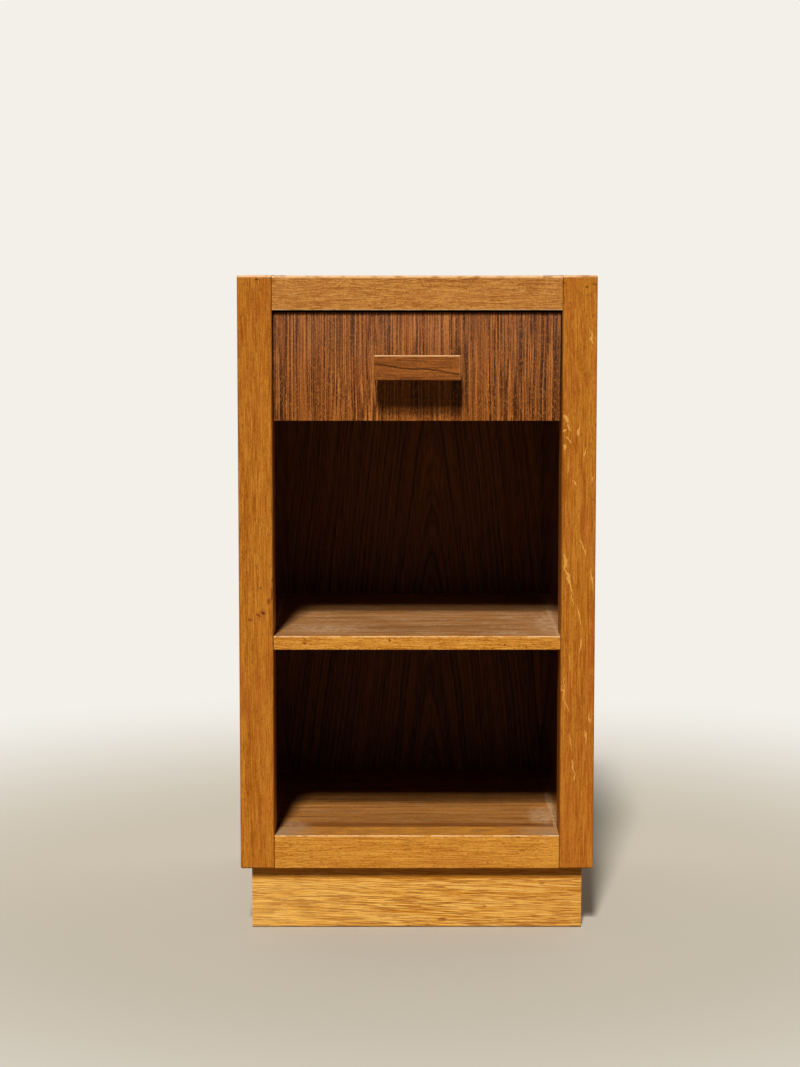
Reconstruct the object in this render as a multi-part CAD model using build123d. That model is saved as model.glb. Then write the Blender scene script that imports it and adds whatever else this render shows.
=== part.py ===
from build123d import *
import os

# A nightstand of solid oak posts and rails round veneered boards, with one
# dovetailed drawer at the top that hangs on wooden runners.
# Millimetres. The front faces -Y, +X is the right-hand side and +Z is up.
# The origin is on the floor, below the middle of the whole outline.

# Carcass
CABINET_WIDTH = 360.0
CARCASS_HEIGHT = 603.0
CARCASS_DEPTH = 340.0
SIDE_THICKNESS = 35.0
POST_DEPTH = 40.0
RAIL_HEIGHT = 34.4
RAIL_SETBACK = 0.4
TOP_STEP = 0.5
ARRIS_RADIUS = 1.8
RAIL_ARRIS = 1.0

# Shelf between the two open compartments
SHELF_THICKNESS = 14.0
SHELF_HOUSING_DEPTH = 7.0
LOWER_OPENING_HEIGHT = 191.4
LIP_DEPTH = 6.0
LIP_ARRIS = 0.8

# Back panel, let into rebates
BACK_THICKNESS = 5.0
BACK_OVERLAP = 8.0
BACK_SCREW_INSET = 4.0
BACK_SCREW_END = 40.0
SIDE_BACK_SCREWS = 3

# Tongues on the boards, in grooves of the posts, rails and side boards
TONGUE_THICKNESS = 10.0
TONGUE_LENGTH = 8.0
TONGUE_STOP = 22.0

# Tenons that join the rails to the posts
TENON_LENGTH = 20.0
TENON_THICKNESS = 12.0
TENON_SETBACK = 12.0
TENON_SHOULDER = 6.0
MORTISE_SPARE = 1.0

# Plinth
PLINTH_HEIGHT = 64.0
PLINTH_THICKNESS = 18.0
PLINTH_FRONT_INSET = 11.0
PLINTH_SIDE_INSET = 11.0
PLINTH_BACK_INSET = 20.0
PLINTH_ARRIS = 1.0
BLOCK_WIDTH = 28.0
BLOCK_HEIGHT = 45.0

# Drawer box
DRAWER_HEIGHT = 108.6
DRAWER_TOP_GAP = 2.0
DRAWER_SIDE_GAP = 1.0
DRAWER_RECESS = 5.0
DRAWER_REAR_GAP = 30.0
FRONT_THICKNESS = 18.0
FRONT_ARRIS = 0.5
DRAWER_SIDE_THICKNESS = 14.0
DRAWER_SIDE_HEIGHT = 90.0
DRAWER_SIDE_RISE = 4.0
DRAWER_SIDE_ARRIS = 2.0
DRAWER_BACK_THICKNESS = 12.0
DRAWER_BACK_DROP = 6.0
DRAWER_BOTTOM_THICKNESS = 4.0
DRAWER_BOTTOM_RISE = 8.0
BOTTOM_GROOVE_DEPTH = 5.0
BOTTOM_GROOVE_SPARE = 0.5

# Dovetails
TAIL_LENGTH = 12.0
DOVETAIL_SLOPE = 1 / 7
FRONT_TAILS = 3
BACK_TAILS = 2
FRONT_PIN_TIP = 6.0
BACK_PIN_TIP = 7.0

# Runners
RUNNER_HEIGHT = 14.4
RUNNER_TOP_GAP = 0.1
RUNNER_BOTTOM_GAP = 0.5
RUNNER_DEPTH_GAP = 0.5
RUNNER_STOP_GAP = 0.3
RUNNER_GROOVE_DEPTH = 7.0
RUNNER_GROOVE_START = 22.0
RUNNER_END_GAP = 10.0
RUNNER_CENTRE_DROP = 42.0
RUNNER_SCREWS = 2
RUNNER_SCREW_END = 25.0

# Handle
HANDLE_LENGTH = 86.0
HANDLE_HEIGHT = 25.0
HANDLE_THICKNESS = 12.0
HANDLE_STANDOFF = 18.0
HANDLE_ARRIS = 1.2
SPACER_RADIUS = 6.0
SPACER_SPACING = 60.0

# Screws
HOLE_CLEARANCE = 0.1
SLOT_WIDTH = 0.9
SLOT_DEPTH = 0.7
BACK_SCREW = {"length": 20.0, "shank": 1.5, "head": 3.0}
RUNNER_SCREW = {"length": 25.0, "shank": 1.5, "head": 3.0}
HANDLE_SCREW = {"length": 44.0, "shank": 2.0, "head": 4.0}
PLINTH_SCREW = {"length": 65.0, "shank": 2.25, "head": 4.5}
BOTTOM_SCREW = {"length": 18.0, "shank": 1.25, "head": 2.5}
BOTTOM_SCREWS = 3
BOTTOM_SCREW_INSET = 30.0

# Places worked out from the sizes above
OVERALL_DEPTH = CARCASS_DEPTH + HANDLE_STANDOFF + HANDLE_THICKNESS - DRAWER_RECESS
BACK_Y = OVERALL_DEPTH / 2
FRONT_Y = BACK_Y - CARCASS_DEPTH
POST_BACK_Y = FRONT_Y + POST_DEPTH
RAIL_FRONT_Y = FRONT_Y + RAIL_SETBACK
PANEL_BACK_Y = BACK_Y - BACK_THICKNESS
OUTSIDE_X = CABINET_WIDTH / 2
INSIDE_X = OUTSIDE_X - SIDE_THICKNESS
SIDE_MIDDLE_X = (OUTSIDE_X + INSIDE_X) / 2
FLOOR_Z = PLINTH_HEIGHT
TOP_Z = FLOOR_Z + CARCASS_HEIGHT
PANEL_TOP_Z = TOP_Z - TOP_STEP
PANEL_BOTTOM_Z = PANEL_TOP_Z - RAIL_HEIGHT
BASE_TOP_Z = FLOOR_Z + RAIL_HEIGHT
SHELF_Z = BASE_TOP_Z + LOWER_OPENING_HEIGHT
SHELF_TOP_Z = SHELF_Z + SHELF_THICKNESS
LIP_BACK_Y = RAIL_FRONT_Y + LIP_DEPTH
RAIL_LEVELS = [(FLOOR_Z, BASE_TOP_Z), (PANEL_BOTTOM_Z, PANEL_TOP_Z)]

DRAWER_X = INSIDE_X - DRAWER_SIDE_GAP
DRAWER_INSIDE_X = DRAWER_X - DRAWER_SIDE_THICKNESS
DRAWER_TOP_Z = PANEL_BOTTOM_Z - DRAWER_TOP_GAP
DRAWER_LOW_Z = DRAWER_TOP_Z - DRAWER_HEIGHT
DRAWER_FRONT_Y = FRONT_Y + DRAWER_RECESS
DRAWER_INNER_Y = DRAWER_FRONT_Y + FRONT_THICKNESS
DRAWER_REAR_Y = PANEL_BACK_Y - DRAWER_REAR_GAP
DRAWER_BACK_Y = DRAWER_REAR_Y - DRAWER_BACK_THICKNESS
BOX_LOW_Z = DRAWER_LOW_Z + DRAWER_SIDE_RISE
BOX_TOP_Z = BOX_LOW_Z + DRAWER_SIDE_HEIGHT
BOTTOM_LOW_Z = BOX_LOW_Z + DRAWER_BOTTOM_RISE
BOTTOM_TOP_Z = BOTTOM_LOW_Z + DRAWER_BOTTOM_THICKNESS

RUNNER_Z = BOX_TOP_Z - RUNNER_CENTRE_DROP
RUNNER_TOP_Z = RUNNER_Z + RUNNER_HEIGHT / 2
RUNNER_LOW_Z = RUNNER_TOP_Z - RUNNER_HEIGHT
GROOVE_FRONT_Y = DRAWER_INNER_Y + RUNNER_GROOVE_START
RUNNER_FRONT_Y = GROOVE_FRONT_Y + RUNNER_STOP_GAP
RUNNER_BACK_Y = DRAWER_REAR_Y - RUNNER_END_GAP
RUNNER_FACE_X = DRAWER_X - RUNNER_GROOVE_DEPTH + RUNNER_DEPTH_GAP

HANDLE_Z = (DRAWER_TOP_Z + DRAWER_LOW_Z) / 2
HANDLE_BACK_Y = DRAWER_FRONT_Y - HANDLE_STANDOFF
HANDLE_FRONT_Y = HANDLE_BACK_Y - HANDLE_THICKNESS

PLINTH_X = OUTSIDE_X - PLINTH_SIDE_INSET
PLINTH_INNER_X = PLINTH_X - PLINTH_THICKNESS
PLINTH_FRONT_Y = FRONT_Y + PLINTH_FRONT_INSET
PLINTH_INNER_Y = PLINTH_FRONT_Y + PLINTH_THICKNESS
PLINTH_REAR_Y = BACK_Y - PLINTH_BACK_INSET
PLINTH_BACK_INNER_Y = PLINTH_REAR_Y - PLINTH_THICKNESS

SIDES = {"left": -1, "right": 1}
SAME_PLACE = 0.01


def board(x0, x1, y0, y1, z0, z1):
    """A rectangular board between two opposite corners, given in any order."""
    middle = Pos((x0 + x1) / 2, (y0 + y1) / 2, (z0 + z1) / 2)
    return middle * Box(abs(x1 - x0), abs(y1 - y0), abs(z1 - z0))


def prism(points, z0, z1):
    """An outline in plan, stood up from z0 to z1."""
    outline = Plane.XY.offset(z0) * make_face(Polyline(*points, close=True))
    return extrude(outline, z1 - z0)


def spread(first, last, count):
    """Evenly spaced places from first to last, both included."""
    return [first + (last - first) * step / (count - 1) for step in range(count)]


def ease(piece, radius, chosen):
    """Round over the edges for which chosen(centre of edge) holds."""
    edges = [edge for edge in piece.edges() if chosen(edge.center())]
    return fillet(edges, radius)


def near(value, place):
    """Whether a coordinate lies at a place, within rounding."""
    return abs(value - place) < SAME_PLACE


def screw_form(size, clearance):
    """A countersunk screw with its head in the plane z = 0, turned about the Z axis."""
    head = size["head"] + clearance
    shank = size["shank"] + clearance
    end = -size["length"] - clearance
    points = [(0, 0), (head, 0), (shank, shank - head), (shank, end), (0, end)]
    return revolve(Plane.XZ * make_face(Polyline(*points, close=True)), Axis.Z)


def screw(size, at, direction):
    """A slotted countersunk screw whose head faces along direction at a point."""
    form = screw_form(size, 0.0)
    slot = Box(2 * size["head"], SLOT_WIDTH, 2 * SLOT_DEPTH)
    return Plane(origin=at, z_dir=direction) * (form - slot)


def screw_hole(size, at, direction):
    """The countersunk hole for a screw."""
    return Plane(origin=at, z_dir=direction) * screw_form(size, HOLE_CLEARANCE)


def flare(x0, x1, narrow_y, wide_y, wide_width, z):
    """One dovetail as a prism across X, narrow at one Y and wide at the other, centred at z."""
    wide = wide_width / 2
    narrow = wide - abs(wide_y - narrow_y) * DOVETAIL_SLOPE
    corners = [(narrow_y, z - narrow), (narrow_y, z + narrow), (wide_y, z + wide), (wide_y, z - wide)]
    outline = Plane.YZ.offset(min(x0, x1)) * make_face(Polyline(*corners, close=True))
    return extrude(outline, abs(x1 - x0))


def back_screw_places():
    """Where the screws pass through the back panel, near its edges."""
    x = INSIDE_X + BACK_OVERLAP - BACK_SCREW_INSET
    low = BASE_TOP_Z - BACK_OVERLAP + BACK_SCREW_INSET
    high = PANEL_BOTTOM_Z + BACK_OVERLAP - BACK_SCREW_INSET
    up = spread(low + BACK_SCREW_END, high - BACK_SCREW_END, SIDE_BACK_SCREWS)
    beside = [(side * x, BACK_Y, z) for side in SIDES.values() for z in up]
    return beside + [(0, BACK_Y, low), (0, BACK_Y, high)]


def runner_screw_places(side):
    """Where the screws of one runner have their heads."""
    first = RUNNER_FRONT_Y + RUNNER_SCREW_END
    last = RUNNER_BACK_Y - RUNNER_SCREW_END
    return [(side * RUNNER_FACE_X, y, RUNNER_Z) for y in spread(first, last, RUNNER_SCREWS)]


def plinth_block_centre(side, end):
    """Plan centre of a corner block; end is -1 at the front and 1 at the back."""
    half = BLOCK_WIDTH / 2
    y = PLINTH_INNER_Y + half if end < 0 else PLINTH_BACK_INNER_Y - half
    return side * (PLINTH_INNER_X - half), y


def plinth_screw_places():
    """Where the screws enter the undersides of the four corner blocks."""
    places = []
    for side in SIDES.values():
        for end in (-1, 1):
            x, y = plinth_block_centre(side, end)
            places.append((x, y, FLOOR_Z - BLOCK_HEIGHT))
    return places


def handle_screw_places():
    """Where the handle's screws have their heads, inside the drawer."""
    half = SPACER_SPACING / 2
    return [(x, DRAWER_INNER_Y, HANDLE_Z) for x in (-half, half)]


def bottom_screw_places():
    """Where the drawer bottom is fixed up into the drawer back."""
    y = (DRAWER_BACK_Y + DRAWER_REAR_Y) / 2
    reach = DRAWER_INSIDE_X - BOTTOM_SCREW_INSET
    return [(x, y, BOTTOM_LOW_Z) for x in spread(-reach, reach, BOTTOM_SCREWS)]


def side_tongue(side, clearance=0.0):
    """The tongue on the front edge of a side board, stopped short of the top."""
    half = TONGUE_THICKNESS / 2
    x = side * SIDE_MIDDLE_X
    tip = POST_BACK_Y - TONGUE_LENGTH - clearance
    return board(x - half, x + half, tip, POST_BACK_Y, FLOOR_Z, TOP_Z - TONGUE_STOP)


def panel_tongue(z, clearance=0.0):
    """The tongue on the front edge of the top or base board, stopped short of the ends."""
    half = TONGUE_THICKNESS / 2
    reach = INSIDE_X - TONGUE_STOP
    tip = POST_BACK_Y - TONGUE_LENGTH - clearance
    return board(-reach, reach, tip, POST_BACK_Y, z - half, z + half)


def end_tongue(side, z, clearance=0.0):
    """The tongue on one end of the top or base board, stopped short of its front and back."""
    half = TONGUE_THICKNESS / 2
    tip = INSIDE_X + TONGUE_LENGTH + clearance
    return board(side * INSIDE_X, side * tip, POST_BACK_Y + TONGUE_STOP, PANEL_BACK_Y - TONGUE_STOP,
                 z - half, z + half)


def rail_tenon(side, low, high, clearance=0.0):
    """The tenon on one end of a rail that reaches from low to high."""
    front = RAIL_FRONT_Y + TENON_SETBACK
    tip = INSIDE_X + TENON_LENGTH + clearance
    return board(side * INSIDE_X, side * tip, front, front + TENON_THICKNESS,
                 low + TENON_SHOULDER, high - TENON_SHOULDER)


def back_rebate():
    """The space that the back panel fills, let into the four boards round it."""
    x = INSIDE_X + BACK_OVERLAP
    low = BASE_TOP_Z - BACK_OVERLAP
    high = PANEL_BOTTOM_Z + BACK_OVERLAP
    return board(-x, x, PANEL_BACK_Y, BACK_Y, low, high)


def post(side):
    """A front post of solid oak, grooved behind for the side board and mortised for the rails."""
    piece = board(side * INSIDE_X, side * OUTSIDE_X, FRONT_Y, POST_BACK_Y, FLOOR_Z, TOP_Z)
    piece = ease(piece, ARRIS_RADIUS, lambda c: near(c.Y, FRONT_Y) or (
        near(c.X, side * OUTSIDE_X) and not near(c.Y, POST_BACK_Y)))
    piece -= side_tongue(side, MORTISE_SPARE)
    for low, high in RAIL_LEVELS:
        piece -= rail_tenon(side, low, high, MORTISE_SPARE)
    return piece


def side_board(side):
    """A veneered side board with its tongue, grooves, shelf housing, rebate and holes."""
    piece = board(side * INSIDE_X, side * OUTSIDE_X, POST_BACK_Y, BACK_Y, FLOOR_Z, TOP_Z)
    piece = ease(piece, ARRIS_RADIUS, lambda c: (
        near(c.X, side * OUTSIDE_X) and not near(c.Y, POST_BACK_Y)) or (
        near(c.Y, BACK_Y) and near(c.Z, TOP_Z)))
    piece += side_tongue(side)
    piece -= back_rebate()
    piece -= board(side * INSIDE_X, side * (INSIDE_X + SHELF_HOUSING_DEPTH),
                   POST_BACK_Y, PANEL_BACK_Y, SHELF_Z, SHELF_TOP_Z)
    for low, high in RAIL_LEVELS:
        piece -= end_tongue(side, (low + high) / 2, MORTISE_SPARE)
    for place in runner_screw_places(side):
        piece -= screw_hole(RUNNER_SCREW, place, (-side, 0, 0))
    for place in back_screw_places():
        if place[0] * side > INSIDE_X:
            piece -= screw_hole(BACK_SCREW, place, (0, 1, 0))
    return piece


def cross_board(low, high):
    """The top or base board between the sides, tongued into its rail and both sides."""
    middle = (low + high) / 2
    piece = board(-INSIDE_X, INSIDE_X, POST_BACK_Y, BACK_Y, low, high)
    piece += panel_tongue(middle)
    piece -= back_rebate()
    for side in SIDES.values():
        piece += end_tongue(side, middle)
    for place in back_screw_places():
        if abs(place[0]) < INSIDE_X and low < place[2] < high:
            piece -= screw_hole(BACK_SCREW, place, (0, 1, 0))
    return piece


def base_board():
    """The base board, with pilot holes for the plinth's screws."""
    piece = cross_board(FLOOR_Z, BASE_TOP_Z)
    for place in plinth_screw_places():
        piece -= screw_hole(PLINTH_SCREW, place, (0, 0, -1))
    return piece


def rail(low, high, upper_arris):
    """A solid oak rail with a tenon at each end, grooved behind for its board."""
    middle = (low + high) / 2
    piece = board(-INSIDE_X, INSIDE_X, RAIL_FRONT_Y, POST_BACK_Y, low, high)
    piece = ease(piece, upper_arris, lambda c: near(c.Y, RAIL_FRONT_Y) and near(c.Z, high))
    piece = ease(piece, RAIL_ARRIS, lambda c: near(c.Y, RAIL_FRONT_Y) and near(c.Z, low))
    piece -= panel_tongue(middle, MORTISE_SPARE)
    for side in SIDES.values():
        piece += rail_tenon(side, low, high)
    return piece


def shelf_board():
    """The shelf, shouldered past the posts and housed in the side boards."""
    wide = INSIDE_X + SHELF_HOUSING_DEPTH
    middle = board(-INSIDE_X, INSIDE_X, LIP_BACK_Y, PANEL_BACK_Y, SHELF_Z, SHELF_TOP_Z)
    return middle + board(-wide, wide, POST_BACK_Y, PANEL_BACK_Y, SHELF_Z, SHELF_TOP_Z)


def shelf_lip():
    """The solid oak lip on the front edge of the shelf."""
    piece = board(-INSIDE_X, INSIDE_X, RAIL_FRONT_Y, LIP_BACK_Y, SHELF_Z, SHELF_TOP_Z)
    return ease(piece, LIP_ARRIS, lambda c: near(c.Y, RAIL_FRONT_Y) and near(c.X, 0))


def back_board():
    """The thin plywood back, screwed into its rebate."""
    piece = back_rebate()
    for place in back_screw_places():
        piece -= screw_hole(BACK_SCREW, place, (0, 1, 0))
    return piece


def runner(side):
    """A hardwood strip with a rounded front end that the drawer side hangs on."""
    radius = RUNNER_HEIGHT / 2
    x0 = side * RUNNER_FACE_X
    x1 = side * INSIDE_X
    piece = board(x0, x1, RUNNER_FRONT_Y + radius, RUNNER_BACK_Y, RUNNER_LOW_Z, RUNNER_TOP_Z)
    nose = Plane(origin=(min(x0, x1), RUNNER_FRONT_Y + radius, RUNNER_Z), z_dir=(1, 0, 0))
    piece += nose * Cylinder(radius, abs(x1 - x0), align=(Align.CENTER, Align.CENTER, Align.MIN))
    for place in runner_screw_places(side):
        piece -= screw_hole(RUNNER_SCREW, place, (-side, 0, 0))
    return piece


def runner_groove(side):
    """The groove in a drawer side, rounded at its front end and open at the back."""
    top = RUNNER_TOP_Z + RUNNER_TOP_GAP
    low = RUNNER_LOW_Z - RUNNER_BOTTOM_GAP
    radius = (top - low) / 2
    x0 = side * (DRAWER_X - RUNNER_GROOVE_DEPTH)
    x1 = side * DRAWER_X
    groove = board(x0, x1, GROOVE_FRONT_Y + radius, DRAWER_REAR_Y, low, top)
    end = Plane(origin=(min(x0, x1), GROOVE_FRONT_Y + radius, (top + low) / 2), z_dir=(1, 0, 0))
    return groove + end * Cylinder(radius, abs(x1 - x0), align=(Align.CENTER, Align.CENTER, Align.MIN))


def front_tails(side):
    """The tails on the front end of a drawer side, which the drawer front laps over."""
    pitch = DRAWER_SIDE_HEIGHT / FRONT_TAILS
    tails = []
    for step in range(FRONT_TAILS):
        z = BOX_LOW_Z + (step + 0.5) * pitch
        tails.append(flare(side * DRAWER_INSIDE_X, side * DRAWER_X, DRAWER_INNER_Y,
                           DRAWER_INNER_Y - TAIL_LENGTH, pitch - FRONT_PIN_TIP, z))
    return tails


def back_pins(side):
    """The pins on one end of the drawer back, which show through the drawer side."""
    top = BOX_TOP_Z - DRAWER_BACK_DROP
    pitch = (top - BOTTOM_TOP_Z) / BACK_TAILS
    root = BACK_PIN_TIP + 2 * DRAWER_BACK_THICKNESS * DOVETAIL_SLOPE
    zone = board(side * DRAWER_INSIDE_X, side * DRAWER_X, DRAWER_BACK_Y, DRAWER_REAR_Y, BOTTOM_TOP_Z, top)
    pins = []
    for step in range(BACK_TAILS + 1):
        pin = flare(side * DRAWER_INSIDE_X, side * DRAWER_X, DRAWER_REAR_Y,
                    DRAWER_BACK_Y, root, BOTTOM_TOP_Z + step * pitch)
        pins.append(pin & zone)
    return pins


def bottom_groove():
    """The groove round the inside of the drawer that holds its bottom."""
    x = DRAWER_INSIDE_X + BOTTOM_GROOVE_DEPTH + BOTTOM_GROOVE_SPARE
    y = DRAWER_INNER_Y - BOTTOM_GROOVE_DEPTH - BOTTOM_GROOVE_SPARE
    return board(-x, x, y, DRAWER_REAR_Y, BOTTOM_LOW_Z, BOTTOM_TOP_Z)


def drawer_side(side):
    """A drawer side: dovetailed at both ends, grooved inside and outside."""
    piece = board(side * DRAWER_INSIDE_X, side * DRAWER_X, DRAWER_INNER_Y, DRAWER_REAR_Y,
                  BOX_LOW_Z, BOX_TOP_Z)
    piece = ease(piece, DRAWER_SIDE_ARRIS, lambda c: near(c.Z, BOX_TOP_Z) and not (
        near(c.Y, DRAWER_INNER_Y) or near(c.Y, DRAWER_REAR_Y)))
    for tail in front_tails(side):
        piece += tail
    for pin in back_pins(side):
        piece -= pin
    piece -= runner_groove(side)
    return piece - bottom_groove()


def drawer_front():
    """The drawer front, socketed behind for the tails of both sides."""
    piece = board(-DRAWER_X, DRAWER_X, DRAWER_FRONT_Y, DRAWER_INNER_Y, DRAWER_LOW_Z, DRAWER_TOP_Z)
    piece = ease(piece, FRONT_ARRIS, lambda c: near(c.Y, DRAWER_FRONT_Y))
    for side in SIDES.values():
        for tail in front_tails(side):
            piece -= tail
    piece -= bottom_groove()
    for place in handle_screw_places():
        piece -= screw_hole(HANDLE_SCREW, place, (0, 1, 0))
    return piece


def drawer_back():
    """The drawer back, which stands on the drawer bottom."""
    top = BOX_TOP_Z - DRAWER_BACK_DROP
    piece = board(-DRAWER_INSIDE_X, DRAWER_INSIDE_X, DRAWER_BACK_Y, DRAWER_REAR_Y, BOTTOM_TOP_Z, top)
    for side in SIDES.values():
        for pin in back_pins(side):
            piece += pin
        piece -= runner_groove(side)
    for place in bottom_screw_places():
        piece -= screw_hole(BOTTOM_SCREW, place, (0, 0, -1))
    return piece


def drawer_bottom():
    """The plywood bottom, held in the groove on three sides and fixed under the back."""
    x = DRAWER_INSIDE_X + BOTTOM_GROOVE_DEPTH
    piece = board(-x, x, DRAWER_INNER_Y - BOTTOM_GROOVE_DEPTH, DRAWER_REAR_Y, BOTTOM_LOW_Z, BOTTOM_TOP_Z)
    for place in bottom_screw_places():
        piece -= screw_hole(BOTTOM_SCREW, place, (0, 0, -1))
    return piece


def handle_bar():
    """The straight wooden bar of the handle, eased all round."""
    half_length = HANDLE_LENGTH / 2
    half_height = HANDLE_HEIGHT / 2
    piece = board(-half_length, half_length, HANDLE_FRONT_Y, HANDLE_BACK_Y,
                  HANDLE_Z - half_height, HANDLE_Z + half_height)
    piece = fillet(piece.edges(), HANDLE_ARRIS)
    for place in handle_screw_places():
        piece -= screw_hole(HANDLE_SCREW, place, (0, 1, 0))
    return piece


def handle_spacer(side):
    """A turned spacer between the drawer front and the handle bar."""
    axis = Plane(origin=(side * SPACER_SPACING / 2, HANDLE_BACK_Y, HANDLE_Z), z_dir=(0, 1, 0))
    piece = axis * Cylinder(SPACER_RADIUS, HANDLE_STANDOFF, align=(Align.CENTER, Align.CENTER, Align.MIN))
    for place in handle_screw_places():
        piece -= screw_hole(HANDLE_SCREW, place, (0, 1, 0))
    return piece


def plinth_front():
    """The front plinth board, mitred at both ends."""
    corners = [(-PLINTH_X, PLINTH_FRONT_Y), (PLINTH_X, PLINTH_FRONT_Y),
               (PLINTH_INNER_X, PLINTH_INNER_Y), (-PLINTH_INNER_X, PLINTH_INNER_Y)]
    piece = prism(corners, 0, FLOOR_Z)
    return ease(piece, PLINTH_ARRIS, lambda c: near(c.Y, PLINTH_FRONT_Y) and near(c.Z, 0))


def plinth_side(side):
    """A side plinth board, mitred at the front and square at the back."""
    corners = [(side * PLINTH_X, PLINTH_FRONT_Y), (side * PLINTH_X, PLINTH_REAR_Y),
               (side * PLINTH_INNER_X, PLINTH_REAR_Y), (side * PLINTH_INNER_X, PLINTH_INNER_Y)]
    piece = prism(corners, 0, FLOOR_Z)
    return ease(piece, PLINTH_ARRIS, lambda c: near(c.X, side * PLINTH_X) and near(c.Z, 0))


def plinth_back():
    """The back plinth board, between the side boards."""
    return board(-PLINTH_INNER_X, PLINTH_INNER_X, PLINTH_BACK_INNER_Y, PLINTH_REAR_Y, 0, FLOOR_Z)


def plinth_block(side, end):
    """A glued corner block that takes the screw up into the base board."""
    x, y = plinth_block_centre(side, end)
    half = BLOCK_WIDTH / 2
    low = FLOOR_Z - BLOCK_HEIGHT
    piece = board(x - half, x + half, y - half, y + half, low, FLOOR_Z)
    return piece - screw_hole(PLINTH_SCREW, (x, y, low), (0, 0, -1))


def fasteners():
    """The screws, one group of separate solids for each kind."""
    sides = SIDES.values()
    return {
        "back_board_screws": [screw(BACK_SCREW, p, (0, 1, 0)) for p in back_screw_places()],
        "runner_screws": [screw(RUNNER_SCREW, p, (-s, 0, 0)) for s in sides for p in runner_screw_places(s)],
        "plinth_screws": [screw(PLINTH_SCREW, p, (0, 0, -1)) for p in plinth_screw_places()],
        "handle_screws": [screw(HANDLE_SCREW, p, (0, 1, 0)) for p in handle_screw_places()],
        "drawer_bottom_screws": [screw(BOTTOM_SCREW, p, (0, 0, -1)) for p in bottom_screw_places()],
    }


def nightstand():
    """Every piece of the nightstand, by name."""
    pieces = {
        "top_board": cross_board(PANEL_BOTTOM_Z, PANEL_TOP_Z),
        "base_board": base_board(),
        "top_rail": rail(PANEL_BOTTOM_Z, PANEL_TOP_Z, ARRIS_RADIUS),
        "base_rail": rail(FLOOR_Z, BASE_TOP_Z, RAIL_ARRIS),
        "shelf_board": shelf_board(),
        "shelf_lip": shelf_lip(),
        "back_board": back_board(),
        "plinth_front": plinth_front(),
        "plinth_back": plinth_back(),
        "drawer_front": drawer_front(),
        "drawer_back": drawer_back(),
        "drawer_bottom": drawer_bottom(),
        "handle_bar": handle_bar(),
    }
    for name, side in SIDES.items():
        pieces[f"{name}_post"] = post(side)
        pieces[f"{name}_side_board"] = side_board(side)
        pieces[f"{name}_runner"] = runner(side)
        pieces[f"{name}_drawer_side"] = drawer_side(side)
        pieces[f"{name}_handle_spacer"] = handle_spacer(side)
        pieces[f"{name}_plinth_side"] = plinth_side(side)
        pieces[f"{name}_front_plinth_block"] = plinth_block(side, -1)
        pieces[f"{name}_back_plinth_block"] = plinth_block(side, 1)
    for name, group in fasteners().items():
        pieces[name] = Compound(children=[Solid(item.solid().wrapped) for item in group])
    return pieces


os.makedirs("parts", exist_ok=True)
for node, shape in nightstand().items():
    export_step(shape, f"parts/{node}.step")
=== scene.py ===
import math
from functools import cached_property
from typing import NamedTuple

import bpy
from bpy.props import FloatProperty, FloatVectorProperty, PointerProperty
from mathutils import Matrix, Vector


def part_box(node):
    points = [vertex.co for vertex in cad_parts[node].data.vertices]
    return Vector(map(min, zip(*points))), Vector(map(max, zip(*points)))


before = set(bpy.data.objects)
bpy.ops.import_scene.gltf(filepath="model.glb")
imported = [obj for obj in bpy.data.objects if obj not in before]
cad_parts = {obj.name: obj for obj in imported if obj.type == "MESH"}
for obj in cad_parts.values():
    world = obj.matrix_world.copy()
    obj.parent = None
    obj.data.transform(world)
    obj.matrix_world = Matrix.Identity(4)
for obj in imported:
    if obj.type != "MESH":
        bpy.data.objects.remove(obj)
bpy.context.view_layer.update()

bl_info = {
    "name": "Nightstand finishes",
    "version": (1, 0, 0),
    "blender": (4, 5, 0),
    "location": "3D View > Sidebar > Nightstand",
    "description": "Wood finishes, fittings and studio stage for a nightstand with one drawer",
    "category": "Object",
}

MM = 0.001

# Turns of the Object coordinates that bring the grain of a board to the Z axis
GRAIN_UP = (0.0, 0.0, 0.0)
GRAIN_ACROSS = (0.0, math.radians(90), 0.0)
GRAIN_BACK = (math.radians(90), 0.0, 0.0)
PLINTH_SLANT = (0.0, math.radians(88), 0.0)

# The stage: how far the floor reaches and the camera sees, in metres, and the sensor in millimetres
FLOOR_REACH = 30.0
SIGHT = 100.0
SENSOR = 36

# The sky's light: its colour, and between which Y of a direction it grows from front to back
SKY_TINT = (1.0, 0.98, 0.95)
SKY_FRONT = -0.15
SKY_BACK = 0.35

# The middle value of noise, and the middle tone of the striped veneer
NOISE_MEAN = 0.5
STRIPE_TONE = 0.415

# Roughness of wood: polished, oiled or lacquered, and bare
POLISHED = 0.07
SATIN = 0.42
BARE = 0.62

# Depth of the bump on fine and on open grain
FINE_GRAIN = 0.06 * MM
OPEN_GRAIN = 0.1 * MM

# Strips along an arris, in millimetres from it: full up to the first, gone beyond the second
RUBBED = (0.7, 1.5)
RUBBED_FOOT = (0.8, 1.8)
RUBBED_TOP = (1.4, 3.0)
# The next strip is painted shade along the posts' inner arrises, where light doesn't reach
INNER_ARRIS_SHADE = (0.5, 1.7)

# How strongly the marks on the oak show
FLECK_STRENGTH = 0.75
KNOT_STRENGTH = 0.75
CHIP_STRENGTH = 0.85
# The next strength is that of the painted shade on the posts' inner arrises
ARRIS_SHADE_STRENGTH = 0.7
RUBBED_STRENGTH = 0.85


class Figure(NamedTuple):
    """The figure of a wood.

    band and fibre are the widths of the bands and the fibres and wander is how far the grain strays
    sideways, in millimetres. reach is how many times longer than wide the fibres are. The others are
    the strengths of the bands, fibres, specks and pores.
    """
    band: float
    fibre: float
    reach: float
    wander: float
    band_depth: float
    fibre_depth: float
    specks: float
    pores: float


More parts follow.
